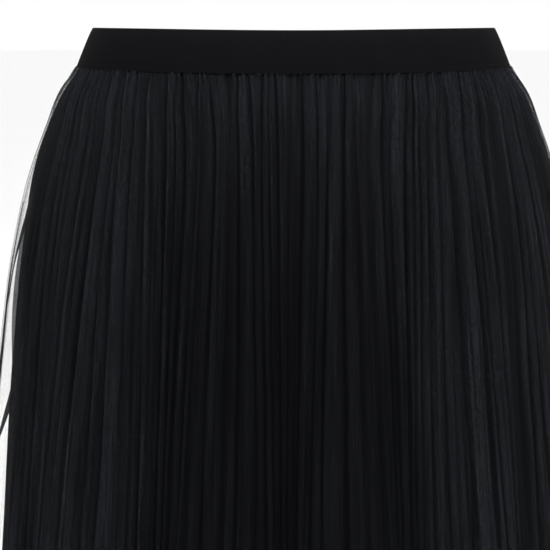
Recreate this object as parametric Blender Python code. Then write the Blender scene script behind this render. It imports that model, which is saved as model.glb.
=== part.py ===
"""Maxi skirt: a pleated tulle overskirt over an opaque lining, gathered into an elastic waistband.

Metres, +Z up. The skirt hangs hollow, as it does when it is worn. Its front faces -Y.
The origin is the centre of the waistband, half way up the band.
"""

import math
from collections import namedtuple

import bmesh
import bpy

# Driving dimensions.
BAND_HEIGHT = 0.025
BAND_TOP_HALF_WIDTH = 0.1318
BAND_FOOT_HALF_WIDTH = 0.1428
BAND_DEPTH_RATIO = 0.74
BAND_WALL = 0.0022
BAND_EDGE_ROUND = 0.0007
BAND_COLUMNS = 96

SEAM_GAP = 0.0003
OVERSKIRT_WALL = 0.0018
TROUGH_SHARPNESS = 1.5

LINING_WALL = 0.0012
LINING_COLUMNS_PER_PANEL = 44
LINING_RISE_INTO_BAND = 0.006

# The sections of each layer, from the band down. Drop is measured from the band's top edge,
# half width and half depth are those of the crests, set back moves the ring towards the seat,
# pleat is the depth of a mean pleat, flute that of a mean flute, and bunch says how far the
# pleats crowd into the troughs between the flutes.
Section = namedtuple("Section", "drop half_width half_depth set_back pleat flute bunch")

OVERSKIRT = (
    Section(BAND_HEIGHT + SEAM_GAP, 0.1430, 0.1057, 0.000, 0.0010, 0.0000, 0.00),
    Section(0.040, 0.1545, 0.1160, 0.001, 0.0018, 0.0003, 0.00),
    Section(0.062, 0.1645, 0.1255, 0.002, 0.0024, 0.0008, 0.00),
    Section(0.095, 0.1782, 0.1370, 0.004, 0.0028, 0.0016, 0.05),
    Section(0.145, 0.1924, 0.1500, 0.007, 0.0032, 0.0026, 0.18),
    Section(0.215, 0.2060, 0.1650, 0.010, 0.0036, 0.0052, 0.34),
    Section(0.320, 0.2235, 0.1840, 0.010, 0.0042, 0.0100, 0.48),
    Section(0.450, 0.2445, 0.2060, 0.009, 0.0047, 0.0160, 0.50),
    Section(0.620, 0.2710, 0.2340, 0.008, 0.0052, 0.0230, 0.50),
    Section(0.810, 0.3000, 0.2650, 0.007, 0.0057, 0.0300, 0.48),
    Section(1.000, 0.3290, 0.2960, 0.006, 0.0062, 0.0370, 0.46),
)

LINING = (
    Section(BAND_HEIGHT - LINING_RISE_INTO_BAND, 0.1372, 0.1009, 0.000, 0.0, 0.0000, 0.0),
    Section(BAND_HEIGHT, 0.1396, 0.1027, 0.000, 0.0, 0.0000, 0.0),
    Section(0.040, 0.1498, 0.1113, 0.001, 0.0, 0.0002, 0.0),
    Section(0.062, 0.1598, 0.1201, 0.002, 0.0, 0.0006, 0.0),
    Section(0.095, 0.1726, 0.1310, 0.004, 0.0, 0.0012, 0.0),
    Section(0.145, 0.1852, 0.1429, 0.007, 0.0, 0.0018, 0.0),
    Section(0.215, 0.1962, 0.1553, 0.010, 0.0, 0.0030, 0.0),
    Section(0.370, 0.2132, 0.1748, 0.010, 0.0, 0.0060, 0.0),
    Section(0.640, 0.2440, 0.2080, 0.008, 0.0, 0.0110, 0.0),
    Section(0.955, 0.2780, 0.2450, 0.006, 0.0, 0.0160, 0.0),
)

# The troughs between the flutes. Angle is in degrees round the ring from the front's centre,
# towards +X, and strength is against a mean trough.
Trough = namedtuple("Trough", "angle strength")

TROUGHS = (
    Trough(-104.0, 0.8), Trough(-76.0, 0.7), Trough(-51.0, 0.9), Trough(-22.0, 1.0),
    Trough(-1.5, 1.2), Trough(18.0, 0.9), Trough(41.5, 0.9), Trough(60.0, 0.6),
    Trough(80.0, 0.8), Trough(100.0, 0.8), Trough(124.0, 1.1), Trough(147.0, 0.8),
    Trough(171.0, 1.2), Trough(195.0, 0.7), Trough(219.0, 1.1), Trough(238.0, 0.7),
    Trough(256.0, 0.8), Trough(284.0, 0.7),
)

# The deep folds among the pleats, placed as they lie in front and alike behind: their angle at
# the hips, their depth against a mean pleat's, and how many pleats lie from each to the next.
DeepFold = namedtuple("DeepFold", "angle depth pleats")

DEEP_FOLDS = (
    DeepFold(-90, 0.1, 3), DeepFold(-76, 0.1, 4), DeepFold(-62, 0.2, 1), DeepFold(-58, 1.1, 3),
    DeepFold(-51, 1.4, 2), DeepFold(-45, 1.5, 2), DeepFold(-40, 1.6, 4), DeepFold(-28, 1.3, 2),
    DeepFold(-24, 1.5, 2), DeepFold(-20, 1.7, 3), DeepFold(-14, 1.0, 2), DeepFold(-10, 1.5, 2),
    DeepFold(-6, 1.3, 2), DeepFold(-3, 1.5, 2), DeepFold(1, 1.4, 3), DeepFold(8, 1.2, 3),
    DeepFold(15, 1.1, 3), DeepFold(21, 1.6, 2), DeepFold(24, 1.7, 2), DeepFold(29, 1.3, 3),
    DeepFold(38, 1.0, 3), DeepFold(46, 1.0, 3), DeepFold(54, 0.9, 3), DeepFold(64, 0.8, 3),
    DeepFold(75, 0.7, 4),
    DeepFold(90, 0.6, 4), DeepFold(103, 1.2, 3), DeepFold(112, 0.9, 3), DeepFold(121, 1.5, 2),
    DeepFold(126, 1.3, 3), DeepFold(137, 0.8, 3), DeepFold(147, 1.5, 2), DeepFold(152, 1.1, 3),
    DeepFold(162, 0.9, 3), DeepFold(170, 1.6, 2), DeepFold(175, 1.3, 3), DeepFold(184, 0.9, 3),
    DeepFold(194, 1.5, 2), DeepFold(200, 1.1, 3), DeepFold(210, 0.8, 3), DeepFold(218, 1.5, 2),
    DeepFold(223, 1.2, 3), DeepFold(235, 1.4, 3), DeepFold(247, 1.0, 3), DeepFold(258, 0.3, 3),
    DeepFold(270, 0.1, 0),
)

# The pleats between two deep folds are shallow and unevenly wide. Each pleat rises from its
# valley to a ridge and falls more gently to the next valley. The wall is thicker than tulle, so
# it has only this share of the folds' depth, which keeps it clear of the lining.
SHALLOW = 0.5
UNEVENNESS = 0.30
PLEAT_LEAN = 0.42
DEPTH_SHARE = 0.6

# The pleats spread towards the sides at the band, by up to this many degrees.
BAND_SPREAD = 11.0
SPREAD_REACH = 0.045

# Each panel runs from one side seam to the other: its first angle, its last angle, and the
# way along Y in which its seam edges draw back from the next panel.
Panel = namedtuple("Panel", "name start end seam_way")
PANELS = (Panel("front", -90.0, 90.0, -1.0), Panel("back", 90.0, 270.0, 1.0))


def clear_scene():
    """Takes away whatever objects the scene has."""
    for item in list(bpy.data.objects):
        bpy.data.objects.remove(item, do_unlink=True)


def cloth_material(name, colour, roughness):
    """A plain matt cloth."""
    material = bpy.data.materials.new(name)
    material.use_nodes = True
    shader = material.node_tree.nodes["Principled BSDF"]
    shader.inputs["Base Color"].default_value = (*colour, 1.0)
    shader.inputs["Roughness"].default_value = roughness
    shader.inputs["Metallic"].default_value = 0.0
    return material


def pleat_valleys(panel):
    """The angle at the hips and the depth of each valley of a panel, from seam to seam."""
    valleys = []
    for fold, after in zip(DEEP_FOLDS, DEEP_FOLDS[1:]):
        if not panel.start <= fold.angle < panel.end:
            continue
        valleys.append((fold.angle, fold.depth))
        for index in range(1, fold.pleats):
            uneven = math.sin(2.4 * len(valleys) + 0.4)
            share = (index + UNEVENNESS * uneven) / fold.pleats
            angle = fold.angle + share * (after.angle - fold.angle)
            between = fold.depth + share * (after.depth - fold.depth)
            valleys.append((angle, SHALLOW * between * (1.0 + 0.5 * math.sin(5.3 * (len(valleys) + 1)))))
    last = next(fold for fold in DEEP_FOLDS if fold.angle == panel.end)
    return valleys + [(last.angle, last.depth)]


def spread_angle(section, angle):
    """Where a pleat that has this angle at the hips lies on a section."""
    reach = math.exp(-(section.drop - OVERSKIRT[0].drop) / SPREAD_REACH)
    return angle + BAND_SPREAD * reach * math.sin(2.0 * math.radians(angle))


def flute(angle):
    """The two troughs beside an angle, and the share of the way from one to the other."""
    for low, high in zip(TROUGHS, TROUGHS[1:]):
        if low.angle <= angle <= high.angle:
            return low, high, (angle - low.angle) / (high.angle - low.angle)
    raise ValueError(f"no trough beside {angle}")


def ring_point(section, angle, inset):
    """A point of a section's ring, moved in from its crests by inset and by its flute."""
    low, high, share = flute(angle)
    strength = low.strength + share * (high.strength - low.strength)
    trough = strength * (0.5 + 0.5 * math.cos(math.tau * share)) ** TROUGH_SHARPNESS
    crowding = section.bunch * (high.angle - low.angle) * math.sin(math.tau * share) / math.tau
    turn = math.radians(angle - crowding)
    depth = inset + section.flute * trough
    return (
        (section.half_width - depth) * math.sin(turn),
        section.set_back - (section.half_depth - depth) * math.cos(turn),
        0.5 * BAND_HEIGHT - section.drop,
    )


def wall(name, outer, inner, closed, material):
    """A closed solid between two nets of points, rows from the top down, columns towards +X."""
    mesh = bmesh.new()
    skin, back = [[[mesh.verts.new(point) for point in row] for row in net] for net in (outer, inner)]
    rows, columns = len(outer), len(outer[0])

    def patch(top_left, low_left, low_right, top_right, turned=False):
        for corners in ((top_left, low_left, low_right), (top_left, low_right, top_right)):
            mesh.faces.new(reversed(corners) if turned else corners)

    for left in range(columns if closed else columns - 1):
        right = (left + 1) % columns
        for top in range(rows - 1):
            low = top + 1
            patch(skin[top][left], skin[low][left], skin[low][right], skin[top][right])
            patch(back[top][left], back[low][left], back[low][right], back[top][right], turned=True)
        for row, turned in ((0, False), (rows - 1, True)):
            patch(skin[row][left], skin[row][right], back[row][right], back[row][left], turned)
    if not closed:
        for column, turned in ((0, False), (columns - 1, True)):
            for top in range(rows - 1):
                low = top + 1
                patch(back[top][column], back[low][column], skin[low][column], skin[top][column], turned)
    data = bpy.data.meshes.new(name)
    mesh.to_mesh(data)
    mesh.free()
    data.materials.append(material)
    solid = bpy.data.objects.new(name, data)
    bpy.context.collection.objects.link(solid)
    return solid


def draw_back_from_seams(rows, panel):
    """Each row with its two end points moved half a seam gap into its own panel."""
    shift = 0.5 * SEAM_GAP * panel.seam_way
    for row in rows:
        for end in (0, -1):
            x, y, z = row[end]
            row[end] = (x, y + shift, z)
    return rows


def build_waistband(material):
    """An elastic ring that narrows upwards, with a softly rounded top edge."""
    slope = (BAND_FOOT_HALF_WIDTH - BAND_TOP_HALF_WIDTH) / BAND_HEIGHT

    def ring(height, inset):
        half_width = BAND_TOP_HALF_WIDTH + slope * (0.5 * BAND_HEIGHT - height)
        half_depth = half_width * BAND_DEPTH_RATIO
        points = []
        for column in range(BAND_COLUMNS):
            turn = math.tau * column / BAND_COLUMNS
            x = (half_width - inset) * math.sin(turn)
            y = -(half_depth - inset) * math.cos(turn)
            points.append((x, y, height))
        return points

    top, foot = 0.5 * BAND_HEIGHT, -0.5 * BAND_HEIGHT
    shoulder = top - BAND_EDGE_ROUND
    outer = [ring(top, BAND_EDGE_ROUND), ring(shoulder, 0.0), ring(foot, 0.0)]
    inner = [ring(top, BAND_WALL - BAND_EDGE_ROUND), ring(shoulder, BAND_WALL), ring(foot, BAND_WALL)]
    return wall("waistband", outer, inner, True, material)


def build_overskirt(panel, material):
    """One panel of the pleated tulle, a wall that zigzags from valley to ridge."""
    valleys = pleat_valleys(panel)
    columns = [valleys[0]]
    for (low, _), (high, depth) in zip(valleys, valleys[1:]):
        columns.append((low + PLEAT_LEAN * (high - low), 0.0))
        columns.append((high, depth))
    outer, inner = [], []
    for section in OVERSKIRT:
        places = [(spread_angle(section, angle), DEPTH_SHARE * depth * section.pleat) for angle, depth in columns]
        outer.append([ring_point(section, angle, inset) for angle, inset in places])
        inner.append([ring_point(section, angle, inset + OVERSKIRT_WALL) for angle, inset in places])
    draw_back_from_seams(outer, panel)
    draw_back_from_seams(inner, panel)
    return wall(f"overskirt_{panel.name}", outer, inner, False, material)


def build_lining(panel, material):
    """One panel of the smooth lining, which hangs in soft flutes inside the tulle."""
    step = (panel.end - panel.start) / LINING_COLUMNS_PER_PANEL
    angles = [panel.start + index * step for index in range(LINING_COLUMNS_PER_PANEL + 1)]
    outer = [[ring_point(section, angle, 0.0) for angle in angles] for section in LINING]
    inner = [[ring_point(section, angle, LINING_WALL) for angle in angles] for section in LINING]
    draw_back_from_seams(outer, panel)
    draw_back_from_seams(inner, panel)
    return wall(f"lining_{panel.name}", outer, inner, False, material)


def main():
    """Builds the five pieces."""
    clear_scene()
    elastic = cloth_material("elastic", (0.012, 0.012, 0.014), 0.85)
    tulle = cloth_material("tulle", (0.010, 0.010, 0.013), 0.70)
    jersey = cloth_material("jersey", (0.006, 0.006, 0.007), 0.80)
    build_waistband(elastic)
    for panel in PANELS:
        build_overskirt(panel, tulle)
        build_lining(panel, jersey)


main()
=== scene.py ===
"""The looks of a maxi skirt: pleated black tulle over an opaque lining, gathered into elastic.

Metres, +Z up, front towards -Y, in the frame of the solids. Drops are measured from the
band's top edge, and angles in degrees round the ring from the front's centre, towards +X.
"""

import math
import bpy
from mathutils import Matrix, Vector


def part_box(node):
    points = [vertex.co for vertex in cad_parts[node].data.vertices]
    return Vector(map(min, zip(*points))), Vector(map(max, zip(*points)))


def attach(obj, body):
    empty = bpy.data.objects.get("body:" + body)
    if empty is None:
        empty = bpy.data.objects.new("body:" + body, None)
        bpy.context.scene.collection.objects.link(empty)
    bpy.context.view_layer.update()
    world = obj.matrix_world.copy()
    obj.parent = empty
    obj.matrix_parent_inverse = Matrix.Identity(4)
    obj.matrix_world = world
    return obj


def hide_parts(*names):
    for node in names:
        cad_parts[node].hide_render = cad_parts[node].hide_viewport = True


bl_info = {
    "name": "Pleated Maxi Skirt",
    "version": (1, 0, 0),
    "blender": (4, 5, 0),
    "location": "3D View > Sidebar > Skirt",
    "description": "Makes a pleated tulle maxi skirt with its lining, waistband and sewing",
    "category": "Add Mesh",
}

from collections import namedtuple

import bmesh
import bpy
import numpy as np
from bpy.props import FloatProperty, FloatVectorProperty, IntProperty, PointerProperty
from mathutils import Vector

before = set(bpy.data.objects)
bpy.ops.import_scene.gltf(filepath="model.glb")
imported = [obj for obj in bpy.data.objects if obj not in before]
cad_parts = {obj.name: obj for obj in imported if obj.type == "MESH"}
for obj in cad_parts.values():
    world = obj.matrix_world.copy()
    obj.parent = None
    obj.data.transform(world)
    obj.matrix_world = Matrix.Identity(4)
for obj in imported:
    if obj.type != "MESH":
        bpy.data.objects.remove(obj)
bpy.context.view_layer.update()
BAND_LOW, BAND_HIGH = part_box("waistband")
HEM_LOW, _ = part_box("overskirt_front")
BAND_TOP = BAND_HIGH[2]
BODY = "root"
BAND_DIP = 0.0016
DIP_REACH = 0.08
HALF_SEAM_GAP = 0.00015

# The sections of each layer, the same as the solids have. Pleat is the depth of a mean pleat,
# flute that of a mean flute, and bunch says how far pleats crowd into the troughs.
Section = namedtuple("Section", "drop half_width half_depth set_back pleat flute bunch")

OVERSKIRT = (
    Section(0.0253, 0.1430, 0.1057, 0.000, 0.0010, 0.0000, 0.0),
    Section(0.040, 0.1545, 0.1160, 0.001, 0.0018, 0.0003, 0.0),
    Section(0.062, 0.1645, 0.1255, 0.002, 0.0024, 0.0008, 0.0),
    Section(0.095, 0.1782, 0.1370, 0.004, 0.0028, 0.0016, 0.05),
    Section(0.145, 0.1924, 0.1500, 0.007, 0.0032, 0.0026, 0.18),
    Section(0.215, 0.2060, 0.1650, 0.010, 0.0036, 0.0052, 0.34),
    Section(0.320, 0.2235, 0.1840, 0.010, 0.0042, 0.0100, 0.48),
    Section(0.450, 0.2445, 0.2060, 0.009, 0.0047, 0.0160, 0.50),
    Section(0.620, 0.2710, 0.2340, 0.008, 0.0052, 0.0230, 0.50),
    Section(0.810, 0.3000, 0.2650, 0.007, 0.0057, 0.0300, 0.48),
    Section(1.000, 0.3290, 0.2960, 0.006, 0.0062, 0.0370, 0.46),
)

LINING = (
    Section(0.019, 0.1372, 0.1009, 0.000, 0.0, 0.0000, 0.0),
    Section(0.025, 0.1396, 0.1027, 0.000, 0.0, 0.0000, 0.0),
    Section(0.040, 0.1498, 0.1113, 0.001, 0.0, 0.0002, 0.0),
    Section(0.062, 0.1598, 0.1201, 0.002, 0.0, 0.0006, 0.0),
    Section(0.095, 0.1726, 0.1310, 0.004, 0.0, 0.0012, 0.0),
    Section(0.145, 0.1852, 0.1429, 0.007, 0.0, 0.0018, 0.0),
    Section(0.215, 0.1962, 0.1553, 0.010, 0.0, 0.0030, 0.0),
    Section(0.370, 0.2132, 0.1748, 0.010, 0.0, 0.0060, 0.0),
    Section(0.640, 0.2440, 0.2080, 0.008, 0.0, 0.0110, 0.0),
    Section(0.955, 0.2780, 0.2450, 0.006, 0.0, 0.0160, 0.0),
)

# The troughs between the flutes, placed as the photo shows them in front.
Trough = namedtuple("Trough", "angle strength")

TROUGHS = (
    Trough(-104.0, 0.8), Trough(-76.0, 0.7), Trough(-51.0, 0.9), Trough(-22.0, 1.0),
    Trough(-1.5, 1.2), Trough(18.0, 0.9), Trough(41.5, 0.9), Trough(60.0, 0.6),
    Trough(80.0, 0.8), Trough(100.0, 0.8), Trough(124.0, 1.1), Trough(147.0, 0.8),
    Trough(171.0, 1.2), Trough(195.0, 0.7), Trough(219.0, 1.1), Trough(238.0, 0.7),
    Trough(256.0, 0.8), Trough(284.0, 0.7),
)
TROUGH_SHARPNESS = 1.5

# The deep folds among the pleats, placed as they lie in front and alike behind: their angle at
# the hips, their depth against a mean pleat's, and how many pleats lie from each to the next.
DeepFold = namedtuple("DeepFold", "angle depth pleats")

DEEP_FOLDS = (
    DeepFold(-90, 0.1, 3), DeepFold(-76, 0.1, 4), DeepFold(-62, 0.2, 1), DeepFold(-58, 1.1, 3),
    DeepFold(-51, 1.4, 2), DeepFold(-45, 1.5, 2), DeepFold(-40, 1.6, 4), DeepFold(-28, 1.3, 2),
    DeepFold(-24, 1.5, 2), DeepFold(-20, 1.7, 3), DeepFold(-14, 1.0, 2), DeepFold(-10, 1.5, 2),
    DeepFold(-6, 1.3, 2), DeepFold(-3, 1.5, 2), DeepFold(1, 1.4, 3), DeepFold(8, 1.2, 3),
    DeepFold(15, 1.1, 3), DeepFold(21, 1.6, 2), DeepFold(24, 1.7, 2), DeepFold(29, 1.3, 3),
    DeepFold(38, 1.0, 3), DeepFold(46, 1.0, 3), DeepFold(54, 0.9, 3), DeepFold(64, 0.8, 3),
    DeepFold(75, 0.7, 4),
    DeepFold(90, 0.6, 4), DeepFold(103, 1.2, 3), DeepFold(112, 0.9, 3), DeepFold(121, 1.5, 2),
    DeepFold(126, 1.3, 3), DeepFold(137, 0.8, 3), DeepFold(147, 1.5, 2), DeepFold(152, 1.1, 3),
    DeepFold(162, 0.9, 3), DeepFold(170, 1.6, 2), DeepFold(175, 1.3, 3), DeepFold(184, 0.9, 3),
    DeepFold(194, 1.5, 2), DeepFold(200, 1.1, 3), DeepFold(210, 0.8, 3), DeepFold(218, 1.5, 2),
    DeepFold(223, 1.2, 3), DeepFold(235, 1.4, 3), DeepFold(247, 1.0, 3), DeepFold(258, 0.3, 3),
    DeepFold(270, 0.1, 0),
)

# The pleats between deep folds: their depth against a deep fold's, how much that differs, and how
# uneven their widths are. A step is how far a pleat is out of step with its neighbour, in radians.
SHALLOW = 0.5
DEPTH_CHANGE = 0.5
DEPTH_STEP = 5.3
WIDTH_CHANGE = 0.30
WIDTH_STEP = 2.4
WIDTH_START = 0.4

# The pleats spread towards the sides at the band, by up to this many degrees. There they lean
# together, they are pressed flat at the seam, and the shallowest are this deep just below it.
BAND_SPREAD = 11.0
SPREAD_REACH = 0.045
ROW_CROWDING = 1.5
GATHER_STEP = 2.1
GATHER_START = 0.7
PINCH_DEPTH = 0.5
PINCH_STEP = 5.3
LEAST_DEPTH = 0.7
SEAM_PRESS = 0.7
SEAM_PRESS_SHARPNESS = 3.0

# How the valleys stray and come and go on their way down: the metres from wave to wave, the step
# from pleat to pleat, and the size.
Wave = namedtuple("Wave", "length step size")
STRAY = (Wave(0.47, 0.9, 1.0), Wave(0.19, 2.4, 0.5))
COMING = (Wave(0.26, 2.4, 1.0), Wave(0.11, 4.1, 0.6))

# One pleat across, from valley to valley: share of its width, shift in metres, rise as a share
# of its depth, and how many layers of net lie there. Each valley is a narrow groove, and the
# ridge just right of it has the fold's doubled cloth behind it.
Fold = namedtuple("Fold", "share shift rise layers")
PLEAT = (
    Fold(0.00, 0.0000, 0.00, 1.2), Fold(0.00, 0.0003, 0.15, 1.3), Fold(0.00, 0.0006, 0.38, 1.5),
    Fold(0.00, 0.0010, 0.62, 1.7), Fold(0.03, 0.0013, 0.80, 2.0), Fold(0.10, 0.0012, 0.93, 2.0),
    Fold(0.20, 0.0009, 1.00, 1.9), Fold(0.30, 0.0006, 0.99, 1.9), Fold(0.40, 0.0003, 0.96, 1.9),
    Fold(0.50, 0.0002, 0.93, 1.8), Fold(0.59, 0.0000, 0.90, 1.8), Fold(0.68, -0.0002, 0.86, 1.8),
    Fold(0.77, -0.0004, 0.81, 1.7), Fold(0.86, -0.0006, 0.74, 1.6), Fold(0.95, -0.0009, 0.61, 1.5),
    Fold(1.00, -0.0008, 0.38, 1.4), Fold(1.00, -0.0004, 0.15, 1.3),
)
RIDGE = 6

# A pleat's flank lies between two shares of its width, and slants more or less from pleat to
# pleat. Shifts are full on a pleat this wide. Cloth counts as doubled in pleats deeper than a share
# of a mean one, and how much lies folded behind differs from pleat to pleat and on the way down.
FLANK = (0.1, 0.9)
FLANK_LAYERS = 1.8
FULL_SHIFT_WIDTH = 0.011
SHIFT_LIMITS = (0.4, 1.2)
DEEPEST = 1.2
DOUBLED_FROM = 0.15
DOUBLED_RISE = 2.0
TILT_STEP = 3.7
TILT_START = 1.1
PLUMP_STEP = 2.9
PLUMP_TURN = 0.8
PLUMP_LENGTH = 0.31

# The fine pressed waves between the valleys: degrees from wave to wave of the broad and of the
# finer ones, and their changes, each with its size and its pace for a degree round and a metre down.
Change = namedtuple("Change", "size round down")
FINE_WIDTH = 1.55
FINER_WIDTH = 0.83
FINER_SIZE = 0.5
FINE_STRAY = Change(1.9, 0.9, 9.0)
FINE_FADE = Change(0.4, 0.53, 31.0)
FINE_COMING = Change(0.35, 0.37, -23.0)

# Each pleat's place on the cloth map starts this much further along, so that its net differs.
PLEAT_OFFSET = 0.0237

# Creases where the tulle is folded over itself, from place to place on the skirt.
Crease = namedtuple("Crease", "start_drop start_angle end_drop end_angle width layers")
CREASES = (
    Crease(0.096, -68.0, 0.240, -58.0, 0.0140, 10.5),
    Crease(0.100, -66.0, 0.186, -80.0, 0.0130, 16.0),
    Crease(0.112, -79.0, 0.200, -80.0, 0.0060, 9.0),
    Crease(0.150, -80.0, 0.280, -80.0, 0.0130, 14.0),
    Crease(0.190, -59.0, 0.266, -65.0, 0.0070, 13.0),
    Crease(0.300, 98.0, 0.420, 86.0, 0.0034, 8.0),
    Crease(0.520, -70.0, 0.640, -80.0, 0.0040, 9.0),
    Crease(0.180, 250.0, 0.290, 262.0, 0.0036, 9.0),
    Crease(0.460, 205.0, 0.600, 198.0, 0.0034, 7.0),
    Crease(0.640, 30.0, 0.760, 37.0, 0.0036, 7.0),
)

# A crease bends on its way down, tapers to its tips, and is crowned in the middle.
CREASE_ROWS = 41
CREASE_COLUMNS = 5
CREASE_BEND = 1.5
CREASE_TAPER = 0.5
CREASE_TIP = 0.02
CREASE_INSET = 0.0006
CREASE_CROWN = 0.0004

# The lining's sides come out to the tulle at the hips, by up to this much at this drop, and the
# tulle is held off it by a gap. Its cloth lies this far apart where it is folded or pressed open.
HUG = 0.0034
HUG_DROP = 0.075
HUG_REACH = 0.6 * HUG_DROP
HUG_SHARPNESS = 8
LINING_GAP = 0.0008
LEAST_ROOM = 0.0003
STOP_SHARPNESS = 6
PLY_GAP = 0.0002
HEM_TURNING = 0.003
ALLOWANCE_TOP = 0.0195
ALLOWANCE_ROWS = 50

# Painted shade on the tulle: it is painted darker in its troughs, round the middle of the front and of the
# back, a little way under the band and low down, and painted darker or paler in patches, alike in front and
# behind. The troughs lose a share of their painted shade at the band. A start is how far down a shade sets
# in.
TROUGH_SHADE = 0.42
TROUGH_LOSS = 0.75
MIDDLE_ANGLE = -3.0
MIDDLE_SHADE = 1.05
MIDDLE_SHARPNESS = 6
MIDDLE_START = 0.08
UPPER_SHADE = 0.09
UPPER_DROP = 0.11
UPPER_REACH = 0.07
LOW_SHADE = 0.16
LOW_START = 0.12
Patch = namedtuple("Patch", "angle reach shade")
PATCHES = (
    Patch(-38.0, 12.0, -0.26), Patch(-12.0, 9.0, 0.30), Patch(4.0, 4.0, -0.10), Patch(9.5, 5.0, 0.42),
    Patch(27.0, 6.0, -0.45), Patch(36.0, 8.0, -0.20), Patch(47.0, 9.0, -0.28),
)

# The painted shade in each pleat's valley, in the fine waves and on the creases, what a painted shade
# of one takes from the colour, and the least that is left of it.
GROOVE_SHADE = 1.15
GROOVE_NARROWNESS = 1.25
FINE_SHADE = 0.72
FINE_SHADE_LIMITS = (-0.2, 1.2)
FINE_SHADE_BELOW = 0.5
CREASE_SHADE = 1.8
SHADE_STRENGTH = -0.42
DARKEST = 0.12

# The net of the tulle: its own threads, and those of the layers behind it, turned and blurred, with
# how much each layer more covers on its threads and in its holes.
NEAR_THREAD = 0.00009
FAR_THREAD = 0.00026
FAR_TURN = 0.35
LAYER_COVER = 0.42
LAYER_HAZE = 0.08

# Noise drawn out on the cloth, by its pace for each metre across and down, with its level of detail
# and the part of its range that is used: spots of the net, painted streaks of light, and painted shade in
# pressed lines.
Speckle = namedtuple("Speckle", "across down detail low high")
SPOTS = Speckle(500.0, 500.0, 0.0, 0.38, 0.62)
STREAKS = Speckle(820.0, 14.0, 2.0, 0.32, 0.68)
PRESSED_LINES = Speckle(320.0, 3.5, 0.0, 0.54, 0.61)
LINES_AT_BAND = 0.1
LINES_GROWTH = -5.0
PALE_STREAK = 1.36
DARK_STREAK = 0.46

# Painted light: the elastic is painted a little paler towards its top, and a painted highlight lies on its
# rolled edge.
BAND_FOOT_PAINTED_LIGHT = 0.72
BAND_PAINTED_LIGHT_RISE = 0.20
ROLL_PAINTED_HIGHLIGHT = 0.30
ROLL_HIGHLIGHT_SHARPNESS = 7.0

# The band's outside leans in at the top and its foot has a thin edge. Its stitches pull a groove
# into it, given by heights from the stitches and depths.
BAND_LEAN = 0.0005
LEAN_SHARPNESS = 6
FOOT_INSET = 0.0002
FOOT_EDGE = 0.0004
SEAM_GROOVE = ((-0.0010, 0.0), (-0.0004, 0.00008), (0.0, 0.00022), (0.0004, 0.00008), (0.0010, 0.0))
BAND_COLUMNS = 256

# Sewing: how far a stitch fills its pitch, and how far rows of stitches lie in from the cloth.
STITCH_SHARE = 0.82
BAND_STITCH_INSET = 0.00012
SEAM_STITCH_INSET = 0.0004
OVERCAST_INSET = 0.0003

# Each panel runs from side seam to side seam. Inside, the front's cloth laps over the seam by some
# degrees, and the back's stops that much short of it and more.
Panel = namedtuple("Panel", "name start end seam_way lap")
PANELS = (Panel("front", -90.0, 90.0, -1.0, 0.15), Panel("back", 90.0, 270.0, 1.0, -0.25))


class SkirtBandSettings(bpy.types.PropertyGroup):
    """Sizes and colour of the elastic waistband"""
    top_half_width: FloatProperty(
        name="Top half width", description="Half the band's width at its top edge",
        default=0.1318, unit="LENGTH")
    foot_half_width: FloatProperty(
        name="Foot half width", description="Half the band's width at its foot",
        default=BAND_HIGH[0], unit="LENGTH")
    depth_ratio: FloatProperty(
        name="Depth ratio", description="Depth of the band against its width",
        default=0.74)
    wall: FloatProperty(
        name="Wall", description="Thickness of the elastic",
        default=0.0022, unit="LENGTH")
    seam_height: FloatProperty(
        name="Seam height", description="From the foot up to the row of stitches",
        default=0.003, unit="LENGTH")
    stitch_pitch: FloatProperty(
        name="Stitch pitch", description="Distance from stitch to stitch",
        default=0.0034, unit="LENGTH")
    thread: FloatProperty(
        name="Thread", description="Thickness of the sewing thread",
        default=0.0004, unit="LENGTH")
    colour: FloatVectorProperty(
        name="Colour", description="Colour of the elastic",
        default=(0.0034, 0.0034, 0.0039), subtype="COLOR")


class SkirtTulleSettings(bpy.types.PropertyGroup):
    """Folds, net, sewing and colour of the overskirt"""
    fading: FloatProperty(
        name="Fading", description="How much a valley comes and goes on its way down",
        default=0.28)
    tilt: FloatProperty(
        name="Tilt", description="How much the pleats differ in their slant",
        default=0.5)
    wander: FloatProperty(
        name="Wander", description="How far a pleat's line strays, against its width",
        default=0.06)
    gather: FloatProperty(
        name="Gather", description="How far pleats lean together at the band, against their width",
        default=0.42)
    gather_reach: FloatProperty(
        name="Gather reach", description="How far down that lean reaches",
        default=0.022, unit="LENGTH")
    ripple: FloatProperty(
        name="Ripple", description="Height of the fine pleats all over",
        default=0.0003, unit="LENGTH")
    pucker: FloatProperty(
        name="Pucker", description="Height of the small puckers under the band",
        default=0.0009, unit="LENGTH")
    pucker_reach: FloatProperty(
        name="Pucker reach", description="How far down the puckers reach",
        default=0.014, unit="LENGTH")
    tuck: FloatProperty(
        name="Tuck", description="How far the top edge runs up over the band's foot",
        default=0.0009, unit="LENGTH")
    puff: FloatProperty(
        name="Puff", description="How far the gathers stand out of the seam there",
        default=0.0012, unit="LENGTH")
    grain: FloatProperty(
        name="Grain", description="How uneven the net is from spot to spot",
        default=0.4)
    lines: FloatProperty(
        name="Lines", description="How dark the finest pressed lines are",
        default=0.5)
    doubling: FloatProperty(
        name="Doubling", description="How much the pleats differ in the cloth folded behind them",
        default=0.30)
    rows: IntProperty(
        name="Rows", description="Rows of the net of faces",
        default=86)
    stitch_pitch: FloatProperty(
        name="Stitch pitch", description="Distance from stitch to stitch at the side seams",
        default=0.0034, unit="LENGTH")
    thread: FloatProperty(
        name="Thread", description="Thickness of the sewing thread",
        default=0.0003, unit="LENGTH")
    cell: FloatProperty(
        name="Net cell", description="Width of a cell of the net",
        default=0.0013, unit="LENGTH")
    colour: FloatVectorProperty(
        name="Colour", description="Colour of the tulle's threads",
        default=(0.0121, 0.0132, 0.0157), subtype="COLOR")


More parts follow.
